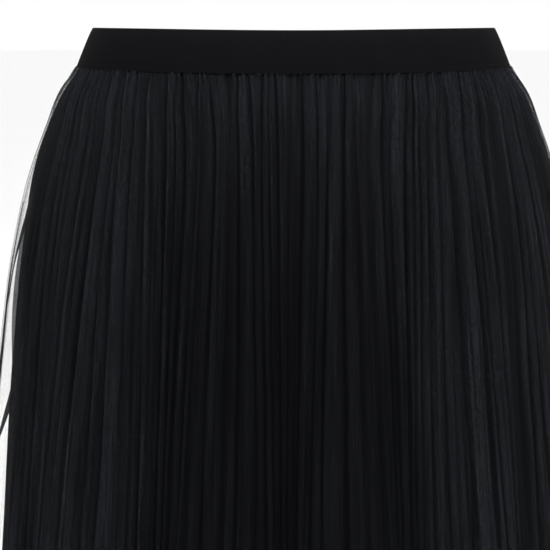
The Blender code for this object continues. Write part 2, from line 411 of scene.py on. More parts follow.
class SkirtLiningSettings(bpy.types.PropertyGroup):
    """Sizes and colour of the lining"""
    columns: IntProperty(
        name="Columns", description="Columns of the net of faces in each panel",
        default=120)
    rows: IntProperty(
        name="Rows", description="Rows of the net of faces",
        default=90)
    thickness: FloatProperty(
        name="Thickness", description="Thickness of the jersey",
        default=0.0006, unit="LENGTH")
    hem_height: FloatProperty(
        name="Hem height", description="From the hem's edge up to its stitches",
        default=0.020, unit="LENGTH")
    hem_rows_apart: FloatProperty(
        name="Hem rows apart", description="From one row of hem stitches to the other",
        default=0.005, unit="LENGTH")
    allowance: FloatProperty(
        name="Seam allowance", description="Width of the cloth pressed open inside a seam",
        default=0.007, unit="LENGTH")
    stitch_pitch: FloatProperty(
        name="Stitch pitch", description="Distance from stitch to stitch",
        default=0.0038, unit="LENGTH")
    thread: FloatProperty(
        name="Thread", description="Thickness of the sewing thread",
        default=0.0003, unit="LENGTH")
    colour: FloatVectorProperty(
        name="Colour", description="Colour of the jersey",
        default=(0.0016, 0.0016, 0.0019), subtype="COLOR")


class SkirtStageSettings(bpy.types.PropertyGroup):
    """Place of the camera and of the floor"""
    distance: FloatProperty(
        name="Distance", description="From the camera to the skirt's axis",
        default=0.72, unit="LENGTH")
    below: FloatProperty(
        name="Below", description="How far the camera is below the band's top edge",
        default=0.0018, unit="LENGTH")
    aside: FloatProperty(
        name="Aside", description="Place of the camera along X",
        default=-0.0121, unit="LENGTH")
    pitch: FloatProperty(
        name="Pitch", description="How far the camera looks down",
        default=math.radians(12.93), subtype="ANGLE")
    lens: FloatProperty(
        name="Lens", description="Focal length on a sensor 36 mm wide",
        default=69.7, unit="CAMERA")
    floor_gap: FloatProperty(
        name="Floor gap", description="From the hem down to the floor",
        default=0.06, unit="LENGTH")


def new_material(name):
    """A material with its shader's node, to which a pattern is added."""
    material = bpy.data.materials.new(name)
    material.use_nodes = True
    return material, material.node_tree.nodes["Principled BSDF"]


def add_node(tree, kind, inputs=None, **settings):
    """A node of a kind, with its settings, and its inputs set or linked by name or number."""
    made = tree.nodes.new(kind)
    for key, value in settings.items():
        setattr(made, key, value)
    for key, value in (inputs or {}).items():
        if isinstance(value, bpy.types.NodeSocket):
            tree.links.new(value, made.inputs[key])
        else:
            made.inputs[key].default_value = value
    return made


def maths(tree, operation, *values):
    """The result of a Math node on numbers or sockets."""
    return add_node(tree, "ShaderNodeMath", dict(enumerate(values)), operation=operation).outputs[0]


def vector_maths(tree, operation, *values, out=0):
    """The result of a Vector Math node on vectors or sockets."""
    return add_node(tree, "ShaderNodeVectorMath", dict(enumerate(values)), operation=operation).outputs[out]


def mixed(tree, share, low, high):
    """A blend of two colours by a share."""
    node = add_node(tree, "ShaderNodeMix", {"Factor": share}, data_type="RGBA")
    node.inputs["A"].default_value = (*low, 1.0)
    node.inputs["B"].default_value = (*high, 1.0)
    return node.outputs["Result"]


def hexagon_net(tree, place, cell, thread):
    """One on the threads of a hexagonal net and nought in its holes, from a place in metres."""
    spot = vector_maths(tree, "MULTIPLY", place, (1.0 / cell, 1.0 / cell, 0.0))
    root = math.sqrt(3.0)
    half = (0.5, 0.5 * root, 0.0)
    shifted = vector_maths(tree, "SUBTRACT", spot, half)
    period, nought = (1.0, root, 1.0), (0.0, 0.0, 0.0)
    wrapped = [vector_maths(tree, "WRAP", start, period, nought) for start in (spot, shifted)]
    near, far = (vector_maths(tree, "SUBTRACT", wrap, half) for wrap in wrapped)
    nearer = maths(tree, "LESS_THAN", vector_maths(tree, "LENGTH", near, out=1),
                   vector_maths(tree, "LENGTH", far, out=1))
    chosen = add_node(tree, "ShaderNodeMix", {"Factor": nearer}, data_type="VECTOR")
    tree.links.new(far, chosen.inputs["A"])
    tree.links.new(near, chosen.inputs["B"])
    folded = vector_maths(tree, "ABSOLUTE", chosen.outputs["Result"])
    slanted = vector_maths(tree, "DOT_PRODUCT", folded, half, out=1)
    across = vector_maths(tree, "DOT_PRODUCT", folded, (1.0, 0.0, 0.0), out=1)
    edge = maths(tree, "MAXIMUM", slanted, across)
    return maths(tree, "GREATER_THAN", edge, 0.5 - 0.5 * thread / cell)


def net_cover(tree, place, cell):
    """How much the tulle covers: its own threads, and those of the layers behind them."""
    layers = add_node(tree, "ShaderNodeAttribute", attribute_name="layers").outputs["Fac"]
    near = hexagon_net(tree, place, cell, NEAR_THREAD)
    turned = add_node(tree, "ShaderNodeVectorRotate", {"Vector": place, "Angle": FAR_TURN},
                      rotation_type="Z_AXIS")
    far = hexagon_net(tree, turned.outputs[0], cell, FAR_THREAD)
    extra = maths(tree, "SUBTRACT", layers, 1.0)
    behind = maths(tree, "MULTIPLY", extra, maths(tree, "MULTIPLY_ADD", far, LAYER_COVER, LAYER_HAZE))
    return maths(tree, "MAXIMUM", near, behind)


def speckled(tree, place, speckle, start, end):
    """Numbers from start to end, as a noise drawn out on the cloth gives them."""
    drawn = vector_maths(tree, "MULTIPLY", place, (speckle.across, speckle.down, 0.0))
    noise = add_node(tree, "ShaderNodeTexNoise", {"Vector": drawn, "Scale": 1.0, "Detail": speckle.detail})
    spread = {"Value": noise.outputs["Fac"], "From Min": speckle.low, "From Max": speckle.high,
              "To Min": start, "To Max": end}
    return add_node(tree, "ShaderNodeMapRange", spread).outputs["Result"]


def tulle_material(settings):
    """A fine net whose holes are clear. Where more layers of net lie together it is denser. Its colour
    carries painted shade and painted streaks of light.
    """
    material, shader = new_material("tulle")
    tree = material.node_tree
    place = add_node(tree, "ShaderNodeUVMap", uv_map="cloth").outputs[0]
    tree.links.new(net_cover(tree, place, settings.cell), shader.inputs["Alpha"])
    # The points' painted shade darkens the colour.
    hollow = add_node(tree, "ShaderNodeAttribute", attribute_name="hollow").outputs["Fac"]
    lit = maths(tree, "MAXIMUM", maths(tree, "MULTIPLY_ADD", hollow, SHADE_STRENGTH, 1.0), DARKEST)
    spots = speckled(tree, place, SPOTS, 1.0 - settings.grain, 1.0 + settings.grain)
    # The finest pressed lines carry painted shade, darker further down.
    height = add_node(tree, "ShaderNodeSeparateXYZ", {"Vector": place}).outputs["Y"]
    growing = maths(tree, "MULTIPLY_ADD", height, LINES_GROWTH * settings.lines, LINES_AT_BAND)
    darkest_line = maths(tree, "MINIMUM", growing, settings.lines)
    pressed = speckled(tree, place, PRESSED_LINES, 1.0, maths(tree, "SUBTRACT", 1.0, darkest_line))
    lit = maths(tree, "MULTIPLY", maths(tree, "MULTIPLY", lit, spots), pressed)
    # Painted streaks of light: the colour runs between dark and pale along the cloth.
    pale = tuple(PALE_STREAK * part for part in settings.colour)
    dark = tuple(DARK_STREAK * part for part in settings.colour)
    colour = mixed(tree, speckled(tree, place, STREAKS, 0.0, 1.0), dark, pale)
    shaded = add_node(tree, "ShaderNodeVectorMath", {0: colour, "Scale": lit}, operation="SCALE")
    tree.links.new(shaded.outputs[0], shader.inputs["Base Color"])
    shader.inputs["Roughness"].default_value = 0.6
    shader.inputs["Specular IOR Level"].default_value = 0.02
    shader.inputs["Sheen Weight"].default_value = 0.008
    shader.inputs["Sheen Roughness"].default_value = 0.4
    shader.inputs["Sheen Tint"].default_value = (0.80, 0.86, 1.0, 1.0)
    return material


def jersey_material(settings):
    """A soft matt knit, with its fine wales as bump."""
    material, shader = new_material("jersey")
    tree = material.node_tree
    place = add_node(tree, "ShaderNodeUVMap", uv_map="cloth").outputs[0]
    cloud = add_node(tree, "ShaderNodeTexNoise", {"Vector": place, "Scale": 14.0, "Detail": 3.0})
    base = tuple(settings.colour)
    dark = tuple(0.6 * part for part in base)
    tree.links.new(mixed(tree, cloud.outputs["Fac"], dark, base), shader.inputs["Base Color"])
    wales = add_node(tree, "ShaderNodeTexWave", {"Vector": place, "Scale": 160.0, "Distortion": 0.6},
                     bands_direction="X")
    bump = add_node(tree, "ShaderNodeBump",
                    {"Height": wales.outputs["Fac"], "Strength": 0.25, "Distance": 0.0002})
    tree.links.new(bump.outputs[0], shader.inputs["Normal"])
    shader.inputs["Roughness"].default_value = 0.85
    shader.inputs["Specular IOR Level"].default_value = 0.01
    return material


def elastic_material(settings):
    """Matt woven elastic: fine upright ribs crossed by finer weft, with a soft bloom, and painted light that
    pales it towards its top.
    """
    material, shader = new_material("elastic")
    tree = material.node_tree
    place = add_node(tree, "ShaderNodeUVMap", uv_map="cloth").outputs[0]
    cloud = add_node(tree, "ShaderNodeTexNoise", {"Vector": place, "Scale": 60.0, "Detail": 4.0})
    base = tuple(settings.colour)
    dark = tuple(0.8 * part for part in base)
    # Painted light: darker at the foot, paler towards the top, with a painted highlight on the rolled edge.
    height = add_node(tree, "ShaderNodeSeparateXYZ", {"Vector": place}).outputs["Y"]
    per_metre = -1.0 / (BAND_HIGH[2] - BAND_LOW[2])
    share = maths(tree, "MINIMUM", maths(tree, "MULTIPLY", height, per_metre), 1.0)
    rolled = maths(tree, "MULTIPLY", maths(tree, "POWER", share, ROLL_HIGHLIGHT_SHARPNESS), ROLL_PAINTED_HIGHLIGHT)
    lit = maths(tree, "ADD", maths(tree, "MULTIPLY_ADD", share, BAND_PAINTED_LIGHT_RISE, BAND_FOOT_PAINTED_LIGHT), rolled)
    colour = mixed(tree, cloud.outputs["Fac"], dark, base)
    shaded = add_node(tree, "ShaderNodeVectorMath", {0: colour, "Scale": lit}, operation="SCALE")
    tree.links.new(shaded.outputs[0], shader.inputs["Base Color"])
    ribs = add_node(tree, "ShaderNodeTexWave", {"Vector": place, "Scale": 300.0, "Distortion": 0.3},
                    bands_direction="X")
    weft = add_node(tree, "ShaderNodeTexWave", {"Vector": place, "Scale": 450.0, "Distortion": 0.3},
                    bands_direction="Y")
    woven = maths(tree, "MULTIPLY_ADD", ribs.outputs["Fac"], 0.6, weft.outputs["Fac"])
    bump = add_node(tree, "ShaderNodeBump", {"Height": woven, "Strength": 0.3, "Distance": 0.0002})
    tree.links.new(bump.outputs[0], shader.inputs["Normal"])
    shader.inputs["Roughness"].default_value = 0.75
    shader.inputs["Specular IOR Level"].default_value = 0.004
    shader.inputs["Sheen Weight"].default_value = 0.006
    shader.inputs["Sheen Roughness"].default_value = 0.35
    return material


def thread_material():
    """Twisted black sewing thread."""
    material, shader = new_material("thread")
    tree = material.node_tree
    place = add_node(tree, "ShaderNodeTexCoord").outputs["Object"]
    ply = add_node(tree, "ShaderNodeTexWave", {"Vector": place, "Scale": 900.0}, bands_direction="DIAGONAL")
    tree.links.new(mixed(tree, ply.outputs["Fac"], (0.0020, 0.0020, 0.0024), (0.0036, 0.0036, 0.0042)),
                   shader.inputs["Base Color"])
    shader.inputs["Roughness"].default_value = 0.6
    shader.inputs["Specular IOR Level"].default_value = 0.03
    return material


def stage_material():
    """A plain pale backdrop."""
    material, shader = new_material("backdrop")
    tree = material.node_tree
    place = add_node(tree, "ShaderNodeTexCoord").outputs["Object"]
    cloud = add_node(tree, "ShaderNodeTexNoise", {"Vector": place, "Scale": 0.8})
    tree.links.new(mixed(tree, cloud.outputs["Fac"], (0.93, 0.93, 0.93), (0.95, 0.95, 0.95)),
                   shader.inputs["Base Color"])
    shader.inputs["Roughness"].default_value = 0.9
    return material


def smooth_sections(table, drops):
    """The sections at any drops, one row for each, read from a smooth curve through the table."""
    rows = np.array(table)
    knots = rows[:, 0]
    slopes = np.gradient(rows, knots, axis=0)
    low = np.clip(np.searchsorted(knots, drops, side="right") - 1, 0, len(knots) - 2)
    span = (knots[low + 1] - knots[low])[:, None]
    share = (drops[:, None] - knots[low][:, None]) / span
    square, cube = share ** 2, share ** 3
    return (
        (2 * cube - 3 * square + 1) * rows[low] + (cube - 2 * square + share) * span * slopes[low]
        + (3 * square - 2 * cube) * rows[low + 1] + (cube - square) * span * slopes[low + 1]
    )


def flutes(angles):
    """How deep in a trough each angle lies, and how far it is drawn to the trough."""
    marks = np.array([trough.angle for trough in TROUGHS])
    strengths = np.array([trough.strength for trough in TROUGHS])
    low = np.clip(np.searchsorted(marks, angles, side="right") - 1, 0, len(marks) - 2)
    gap = marks[low + 1] - marks[low]
    share = (angles - marks[low]) / gap
    strength = strengths[low] + share * (strengths[low + 1] - strengths[low])
    turn = math.tau * share
    trough = strength * (0.5 + 0.5 * np.cos(turn)) ** TROUGH_SHARPNESS
    return trough, gap * np.sin(turn) / math.tau


def ring_points(sections, angles, insets):
    """Points of the rings, one row for each section, moved in from the crests by insets."""
    _, half_width, half_depth, set_back, _, flute, bunch = (column[:, None] for column in sections.T)
    trough, drawn = flutes(angles)
    turn = np.radians(angles - bunch * drawn)
    depth = insets + flute * trough
    heights = np.broadcast_to(BAND_TOP - sections[:, :1], angles.shape)
    return np.stack((
        (half_width - depth) * np.sin(turn),
        set_back - (half_depth - depth) * np.cos(turn),
        heights,
    ), axis=-1)


def hug(drops, angles):
    """How far the lining comes out to the tulle."""
    near = np.exp(-((drops[:, None] - HUG_DROP) / HUG_REACH) ** 2)
    return HUG * near * np.abs(np.sin(np.radians(angles))) ** HUG_SHARPNESS


def room_to_lining(drops, angles):
    """How far the tulle may be drawn in before it meets the lining."""
    outer = smooth_sections(OVERSKIRT, drops)
    inner = smooth_sections(LINING, np.clip(drops, LINING[0].drop, LINING[-1].drop))
    _, wide, deep, _, _, flute, _ = (outer - inner).T
    trough, _ = flutes(angles)
    gap = np.minimum(wide, deep)[:, None] + flute[:, None] * trough - hug(drops, angles)
    return np.maximum(gap - LINING_GAP, LEAST_ROOM)


def held_off_lining(insets, room):
    """The insets, eased off where they come near the room that there is."""
    share = np.maximum(insets, 0.0) / room
    return insets / (1.0 + share ** STOP_SHARPNESS) ** (1.0 / STOP_SHARPNESS)


def painted_shade_by_place(angles, down):
    """The painted shade of each place of the tulle."""
    trough, _ = flutes(angles)
    middle = (0.5 + 0.5 * np.cos(2.0 * np.radians(angles - MIDDLE_ANGLE))) ** MIDDLE_SHARPNESS
    near_band = np.exp(-down / LOW_START)
    around = (angles + 90.0) % 180.0 - 90.0
    patches = sum(patch.shade * np.exp(-((around - patch.angle) / patch.reach) ** 2) for patch in PATCHES)
    shade = TROUGH_SHADE * trough * (1.0 - TROUGH_LOSS * near_band)
    shade = shade + (MIDDLE_SHADE * middle + patches) * (1.0 - np.exp(-down / MIDDLE_START))
    shade = shade + UPPER_SHADE * np.exp(-((down - UPPER_DROP) / UPPER_REACH) ** 2)
    return shade + LOW_SHADE * (1.0 - near_band)


def pleat_edges(panel):
    """The angles and depths of a panel's valleys at the hips: its deep folds and those between."""
    edges, depths = [], []
    for fold, after in zip(DEEP_FOLDS, DEEP_FOLDS[1:]):
        if not panel.start <= fold.angle < panel.end:
            continue
        edges.append(fold.angle)
        depths.append(fold.depth)
        for index in range(1, fold.pleats):
            aside = WIDTH_CHANGE * math.sin(WIDTH_STEP * len(edges) + WIDTH_START)
            share = (index + aside) / fold.pleats
            edges.append(fold.angle + share * (after.angle - fold.angle))
            between = fold.depth + share * (after.depth - fold.depth)
            uneven = 1.0 + DEPTH_CHANGE * math.sin(DEPTH_STEP * len(edges))
            depths.append(SHALLOW * between * uneven)
    last = next(fold for fold in DEEP_FOLDS if fold.angle == panel.end)
    return np.array(edges + [last.angle]), np.array(depths + [last.depth])


def sway(points):
    """The band and what hangs from it dip a little at the middle of the front and of the back."""
    turn = np.arctan2(points[..., 0], -points[..., 1])
    points[..., 2] -= BAND_DIP * np.cos(turn) ** 2 * np.exp(-(BAND_TOP - points[..., 2]) / DIP_REACH)
    return points


def grid_faces(rows, columns):
    """The faces between the points of a grid that is seen from outside, row under row."""
    corner = np.arange(rows - 1)[:, None] * columns + np.arange(columns - 1)
    return np.stack((corner, corner + columns, corner + columns + 1, corner + 1), axis=-1).reshape(-1, 4)


def grid_corners(left, right, down):
    """The place on the cloth of each corner of a grid's faces, from their left and right sides."""
    across = np.stack((left[:-1], left[1:], right[1:], right[:-1]), axis=-1)
    fall = np.broadcast_to(down[:, None], left.shape)
    fall = np.stack((fall[:-1], fall[1:], fall[1:], fall[:-1]), axis=-1)
    return np.stack((across, -fall), axis=-1).reshape(-1, 2)


def along_rows(points):
    """How far along its row each point of a grid lies."""
    lengths = np.linalg.norm(np.diff(points, axis=1), axis=-1)
    return np.concatenate((np.zeros((len(points), 1)), np.cumsum(lengths, axis=1)), axis=1)


def cloth_object(name, points, faces, corners, material, values=None):
    """A mesh object with a material, its cloth map, and the named values of its points."""
    mesh = bpy.data.meshes.new(name)
    mesh.from_pydata(sway(np.array(points).reshape(-1, 3)).tolist(), [], faces.tolist())
    mesh.uv_layers.new(name="cloth").data.foreach_set("uv", np.asarray(corners, dtype=np.float32).ravel())
    for key, numbers in (values or {}).items():
        mesh.attributes.new(key, "FLOAT", "POINT").data.foreach_set("value", numbers)
    mesh.shade_smooth()
    mesh.materials.append(material)
    made = bpy.data.objects.new(name, mesh)
    bpy.context.collection.objects.link(made)
    return made


def declare(piece, slot, *nodes):
    """The piece rides on the skirt's one body and stands for its solids; its slot is not used."""
    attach(piece, BODY)
    if nodes:
        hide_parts(*nodes)


def row_drops(start, end, rows, crowding):
    """The drops of the rows, closer together near the band."""
    return start + (end - start) * np.linspace(0.0, 1.0, rows) ** crowding


def band_spread(angles, down):
    """How far towards the sides the pleats are moved near the band, in degrees."""
    return BAND_SPREAD * np.exp(-down / SPREAD_REACH) * np.sin(2.0 * np.radians(angles))


def swing(waves, down, count):
    """The sum of some waves on each pleat's way down."""
    return sum(wave.size * np.sin(math.tau * down / wave.length + wave.step * count) for wave in waves)


def drift(change, places, down):
    """A slow change over the cloth."""
    return change.size * np.sin(change.round * places + change.down * down)


def valley_lines(panel, settings, down):
    """The angle and strength of each valley in each row. They stray, come and go, and lean together."""
    edges, depths = pleat_edges(panel)
    count = np.arange(len(edges))
    valleys = edges + band_spread(edges, down)
    pinch = np.exp(-down / settings.gather_reach)
    lean = settings.gather * pinch * np.sin(GATHER_STEP * count + GATHER_START)
    stray = settings.wander * swing(STRAY, down, count) + lean
    stray[:, 0] = stray[:, -1] = 0.0
    room = np.minimum(np.diff(valleys, axis=1, prepend=-1e3), np.diff(valleys, axis=1, append=1e3))
    deeper = PINCH_DEPTH * pinch * (1.0 + np.sin(PINCH_STEP * count))
    strength = depths * (1.0 + settings.fading * swing(COMING, down, count) + deeper)
    strength = np.maximum(strength, LEAST_DEPTH * np.exp(-down / SPREAD_REACH))
    pressed = SEAM_PRESS * np.exp(-SEAM_PRESS_SHARPNESS * down / settings.pucker_reach)
    return valleys + stray * room, strength * (1.0 - pressed)


def folded_net(valleys, strength, sections, down, settings):
    """The angles, insets, layers of net and painted valley shade of a panel's points, pleat by pleat."""
    count = np.arange(1, valleys.shape[1])
    share, shift, rise, layers = np.array(PLEAT).T
    widths = np.diff(valleys, axis=1)[:, :, None]
    here = strength[:, :-1, None] + share * np.diff(strength, axis=1)[:, :, None]
    per_degree = (np.radians(1.0) * sections[:, 1:2])[:, :, None]
    degrees = np.clip(widths * per_degree / FULL_SHIFT_WIDTH, 0.0, 1.0) / per_degree
    shifts = shift * degrees * np.clip(0.5 + 0.5 * here, *SHIFT_LIMITS)
    angles = valleys[:, :-1, None] + share * widths + shifts
    tilt = (1.0 + settings.tilt * np.sin(TILT_STEP * count + TILT_START))[:, None]
    on_flank = (share > FLANK[0]) & (share < FLANK[1])
    insets = sections[:, 4:5, None] * here * np.where(on_flank, (1.0 - rise) * tilt, 1.0 - rise)
    turn = PLUMP_STEP * count + PLUMP_TURN * np.sin(math.tau * down / PLUMP_LENGTH + count)
    flank = (FLANK_LAYERS - 1.0) * (1.0 + settings.doubling * np.sin(turn))[:, :, None]
    doubled = np.clip(DOUBLED_RISE * (here - DOUBLED_FROM), 0.0, 1.0)
    layers = 1.0 + doubled * (flank + (layers - FLANK_LAYERS) * np.clip(here, 0.0, DEEPEST))
    # Painted shade in the narrow valley of each pleat.
    valley_painted_shade = GROOVE_SHADE * np.clip(1.0 - GROOVE_NARROWNESS * rise, 0.0, 1.0) ** 2 * here
    return [with_last_valley(values) for values in (angles, insets, layers, valley_painted_shade)]


def fine_waves(places, down):
    """The fine pressed waves, which stray and fade here and there."""
    broad = np.sin(math.tau * places / FINE_WIDTH + drift(FINE_STRAY, places, down))
    broad = broad * (1.0 - FINE_FADE.size + drift(FINE_FADE, places, down))
    return broad + FINER_SIZE * np.sin(math.tau * places / FINER_WIDTH)


def build_overskirt_panel(panel, settings, material):
    """One panel of tulle: pleats, fine waves between them, puckers at the band, and creases."""
    top = OVERSKIRT[0].drop - settings.tuck
    drops = row_drops(top, OVERSKIRT[-1].drop, settings.rows, ROW_CROWDING)
    sections = smooth_sections(OVERSKIRT, drops)
    down = (drops - drops[0])[:, None]
    valleys, strength = valley_lines(panel, settings, down)
    angles, insets, layers, valley_painted_shade = folded_net(valleys, strength, sections, down, settings)
    places = angles - band_spread(angles, down)
    waves = fine_waves(places, down)
    coming = 1.0 - FINE_COMING.size + drift(FINE_COMING, places, down)
    near_band = np.exp(-down / settings.pucker_reach)
    insets = insets + (waves + 1.0) * (settings.ripple * coming + settings.pucker * near_band)
    insets = insets - settings.puff * np.exp(-down / (4.0 * settings.tuck))
    insets = held_off_lining(insets, room_to_lining(drops, angles))
    # Painted shade in the fine waves' low places, in each pleat's valley and by place.
    wave_painted_shade = np.clip(waves, *FINE_SHADE_LIMITS) * (FINE_SHADE_BELOW * coming + near_band)
    hollow = painted_shade_by_place(angles, down) + FINE_SHADE * wave_painted_shade + valley_painted_shade
    points = ring_points(sections, angles, insets)
    points[:, (0, -1), 1] += HALF_SEAM_GAP * panel.seam_way
    parts = [overskirt_grid(points, sections) + ({"layers": layers, "hollow": hollow},)]
    parts += [crease_grid(crease) for crease in CREASES if panel.start <= crease.start_angle < panel.end]
    piece = joined_grids(f"tulle_{panel.name}", parts, material)
    declare(piece, "tulle", f"overskirt_{panel.name}")
    return piece


def with_last_valley(values):
    """The pleats side by side in one row, closed by a valley like the first one."""
    rows = values.reshape(len(values), -1)
    step = values[:, -1, 0] - values[:, -2, 0]
    return np.concatenate((rows, (values[:, -1, 0] + step)[:, None]), axis=1)


def overskirt_grid(points, sections):
    """The panel's points, with the cloth map of each pleat measured from its own ridge."""
    rows, columns = points.shape[:2]
    along = along_rows(points)
    pleat = np.arange(columns - 1) // len(PLEAT)
    ridge = along[:, pleat * len(PLEAT) + RIDGE]
    offset = PLEAT_OFFSET * pleat
    steps = np.hypot(np.diff(sections[:, 0]), np.diff(sections[:, 1]))
    down = np.concatenate(([0.0], np.cumsum(steps)))
    corners = grid_corners(along[:, :-1] - ridge + offset, along[:, 1:] - ridge + offset, down)
    return points, corners


def crease_grid(crease):
    """A narrow fold that lies on the tulle, widest half way and tapered to its ends."""
    share = np.linspace(0.0, 1.0, CREASE_ROWS)
    sections = smooth_sections(OVERSKIRT, crease.start_drop + share * (crease.end_drop - crease.start_drop))
    middle = crease.start_angle + (crease.end_angle - crease.start_angle) * share ** CREASE_BEND
    swell = np.sin(math.pi * np.clip(share, CREASE_TIP, 1.0 - CREASE_TIP)) ** CREASE_TAPER
    across = np.linspace(-0.5, 0.5, CREASE_COLUMNS)
    angles = middle[:, None] + np.degrees(across * crease.width * swell[:, None] / sections[:, 1:2])
    insets = np.broadcast_to(CREASE_INSET - CREASE_CROWN * np.cos(math.pi * across), angles.shape)
    points = ring_points(sections, angles, insets)
    along = along_rows(points)
    corners = grid_corners(along[:, :-1], along[:, 1:], sections[:, 0])
    # Each crease carries painted shade.
    named = {"layers": crease.layers, "hollow": CREASE_SHADE}
    return points, corners, {key: np.full(angles.shape, value) for key, value in named.items()}


def joined_grids(name, parts, material):
    """One object from several grids of points, each with its cloth map and its points' named values."""
    faces, first = [], 0
    for points, *_ in parts:
        rows, columns = points.shape[:2]
        faces.append(grid_faces(rows, columns) + first)
        first += rows * columns
    points, corners, named = zip(*parts)
    points = np.concatenate([grid.reshape(-1, 3) for grid in points])
    values = {key: np.concatenate([grids[key].ravel() for grids in named]) for key in named[0]}
    return cloth_object(name, points, np.concatenate(faces), np.concatenate(corners), material, values)


def lining_grid(drops, angles, inset):
    """A grid of the lining's cloth at some drops and angles, moved in from its outer face."""
    sections = smooth_sections(LINING, drops)
    angles = np.broadcast_to(angles, (len(drops), np.shape(angles)[-1]))
    points = ring_points(sections, angles, inset - hug(drops, angles))
    along = along_rows(points)
    middle = 0.5 * along[:, -1:]
    return points, grid_corners(along[:, :-1] - middle, along[:, 1:] - middle, drops), {}


def allowance_angles(drops, edge, way, width):
    """The angles across a seam's pressed allowance, which runs along a panel's edge."""
    across = np.linspace(0.0, 1.0, 4) * width
    angles = edge + way * np.degrees(across / smooth_sections(LINING, drops)[:, 1:2])
    return angles if way > 0 else angles[:, ::-1]


def build_lining_panel(panel, settings, material):
    """One panel of smooth jersey in soft flutes, its hem turned up and its seams pressed open inside."""
    hem = LINING[-1].drop
    across = np.linspace(panel.start, panel.end, settings.columns + 1)
    wall = lining_grid(row_drops(LINING[0].drop, hem, settings.rows, 1.3), across, 0.0)
    wall[0][:, (0, -1), 1] += HALF_SEAM_GAP * panel.seam_way
    turned = hem - settings.hem_height - HEM_TURNING
    inside = settings.thickness + PLY_GAP
    lapped = np.linspace(panel.start - panel.lap, panel.end + panel.lap, settings.columns + 1)
    parts = [wall, lining_grid(np.linspace(turned, hem - PLY_GAP, 4), lapped, inside)]
    drops = np.linspace(ALLOWANCE_TOP, turned - 0.001, ALLOWANCE_ROWS)
    for edge, way in ((panel.start - panel.lap, 1.0), (panel.end + panel.lap, -1.0)):
        parts.append(lining_grid(drops, allowance_angles(drops, edge, way, settings.allowance), inside))
    piece = joined_grids(f"jersey_{panel.name}", parts, material)
    solidify = piece.modifiers.new("thickness", "SOLIDIFY")
    solidify.thickness = settings.thickness
    solidify.offset = -1.0
    declare(piece, "jersey", f"lining_{panel.name}")
    return piece


def band_ring(settings, height, inset, columns):
    """A ring of the band at a height, moved in from its outer face."""
    share = (height - BAND_LOW[2]) / (BAND_HIGH[2] - BAND_LOW[2])
    half_width = settings.foot_half_width + share * (settings.top_half_width - settings.foot_half_width)
    half_depth = half_width * settings.depth_ratio
    turn = math.tau * np.arange(columns) / columns
    return np.stack(((half_width - inset) * np.sin(turn), -(half_depth - inset) * np.cos(turn),
                     np.full(columns, height)), axis=-1)


def band_profile(settings):
    """Heights and insets up the outside, over the rolled edge and down the inside."""
    low, high, wall = BAND_LOW[2], BAND_HIGH[2], settings.wall
    roll = 0.5 * wall
    edge = high - roll
    seam = low + settings.seam_height
    profile = [(low, FOOT_INSET), (low + FOOT_EDGE, 0.0)]
    profile += [(seam + height, depth) for height, depth in SEAM_GROOVE]
    profile += [(seam + share * (edge - seam), BAND_LEAN * share ** LEAN_SHARPNESS)
                for share in (0.2, 0.35, 0.5, 0.65, 0.8, 0.9, 1.0)]
    profile += [(edge + roll * math.sin(turn), BAND_LEAN + (roll - BAND_LEAN) * (1.0 - math.cos(turn)))
                for turn in np.linspace(0.0, 0.5 * math.pi, 8)[1:]]
    profile += [(edge + roll * math.sin(turn), roll - roll * math.cos(turn))
                for turn in np.linspace(0.5 * math.pi, math.pi, 7)[1:]]
    profile += [(low + share * (edge - low), wall) for share in (0.7, 0.4, 0.1)]
    profile += [(low, wall - FOOT_EDGE)]
    return profile


def build_waistband(settings, material):
    """An elastic ring with a softly rolled top edge and a thinner foot where it is sewn on."""
    profile = band_profile(settings)
    closed = profile + profile[:1]
    rings = np.array([band_ring(settings, height, inset, BAND_COLUMNS) for height, inset in closed])
    up = np.concatenate(([0.0], np.cumsum(np.hypot(*np.diff(np.array(closed), axis=0).T))))
    once_round = np.concatenate((rings[0], rings[0, :1]))
    girth = np.linalg.norm(np.diff(once_round, axis=0), axis=-1).sum()
    along = np.broadcast_to(np.linspace(0.0, girth, BAND_COLUMNS + 1), (len(rings), BAND_COLUMNS + 1))
    corners = grid_corners(along[:, 1:], along[:, :-1], up).reshape(-1, 4, 2)[:, ::-1].reshape(-1, 2)
    ring = np.arange(len(profile))[:, None] * BAND_COLUMNS
    above = (ring + BAND_COLUMNS) % (len(profile) * BAND_COLUMNS)
    column = np.arange(BAND_COLUMNS)
    beside = (column + 1) % BAND_COLUMNS
    faces = np.stack((ring + column, ring + beside, above + beside, above + column), axis=-1).reshape(-1, 4)
    piece = cloth_object("waist_elastic", rings[:-1], faces, corners, material)
    declare(piece, "elastic", "waistband")
    return piece


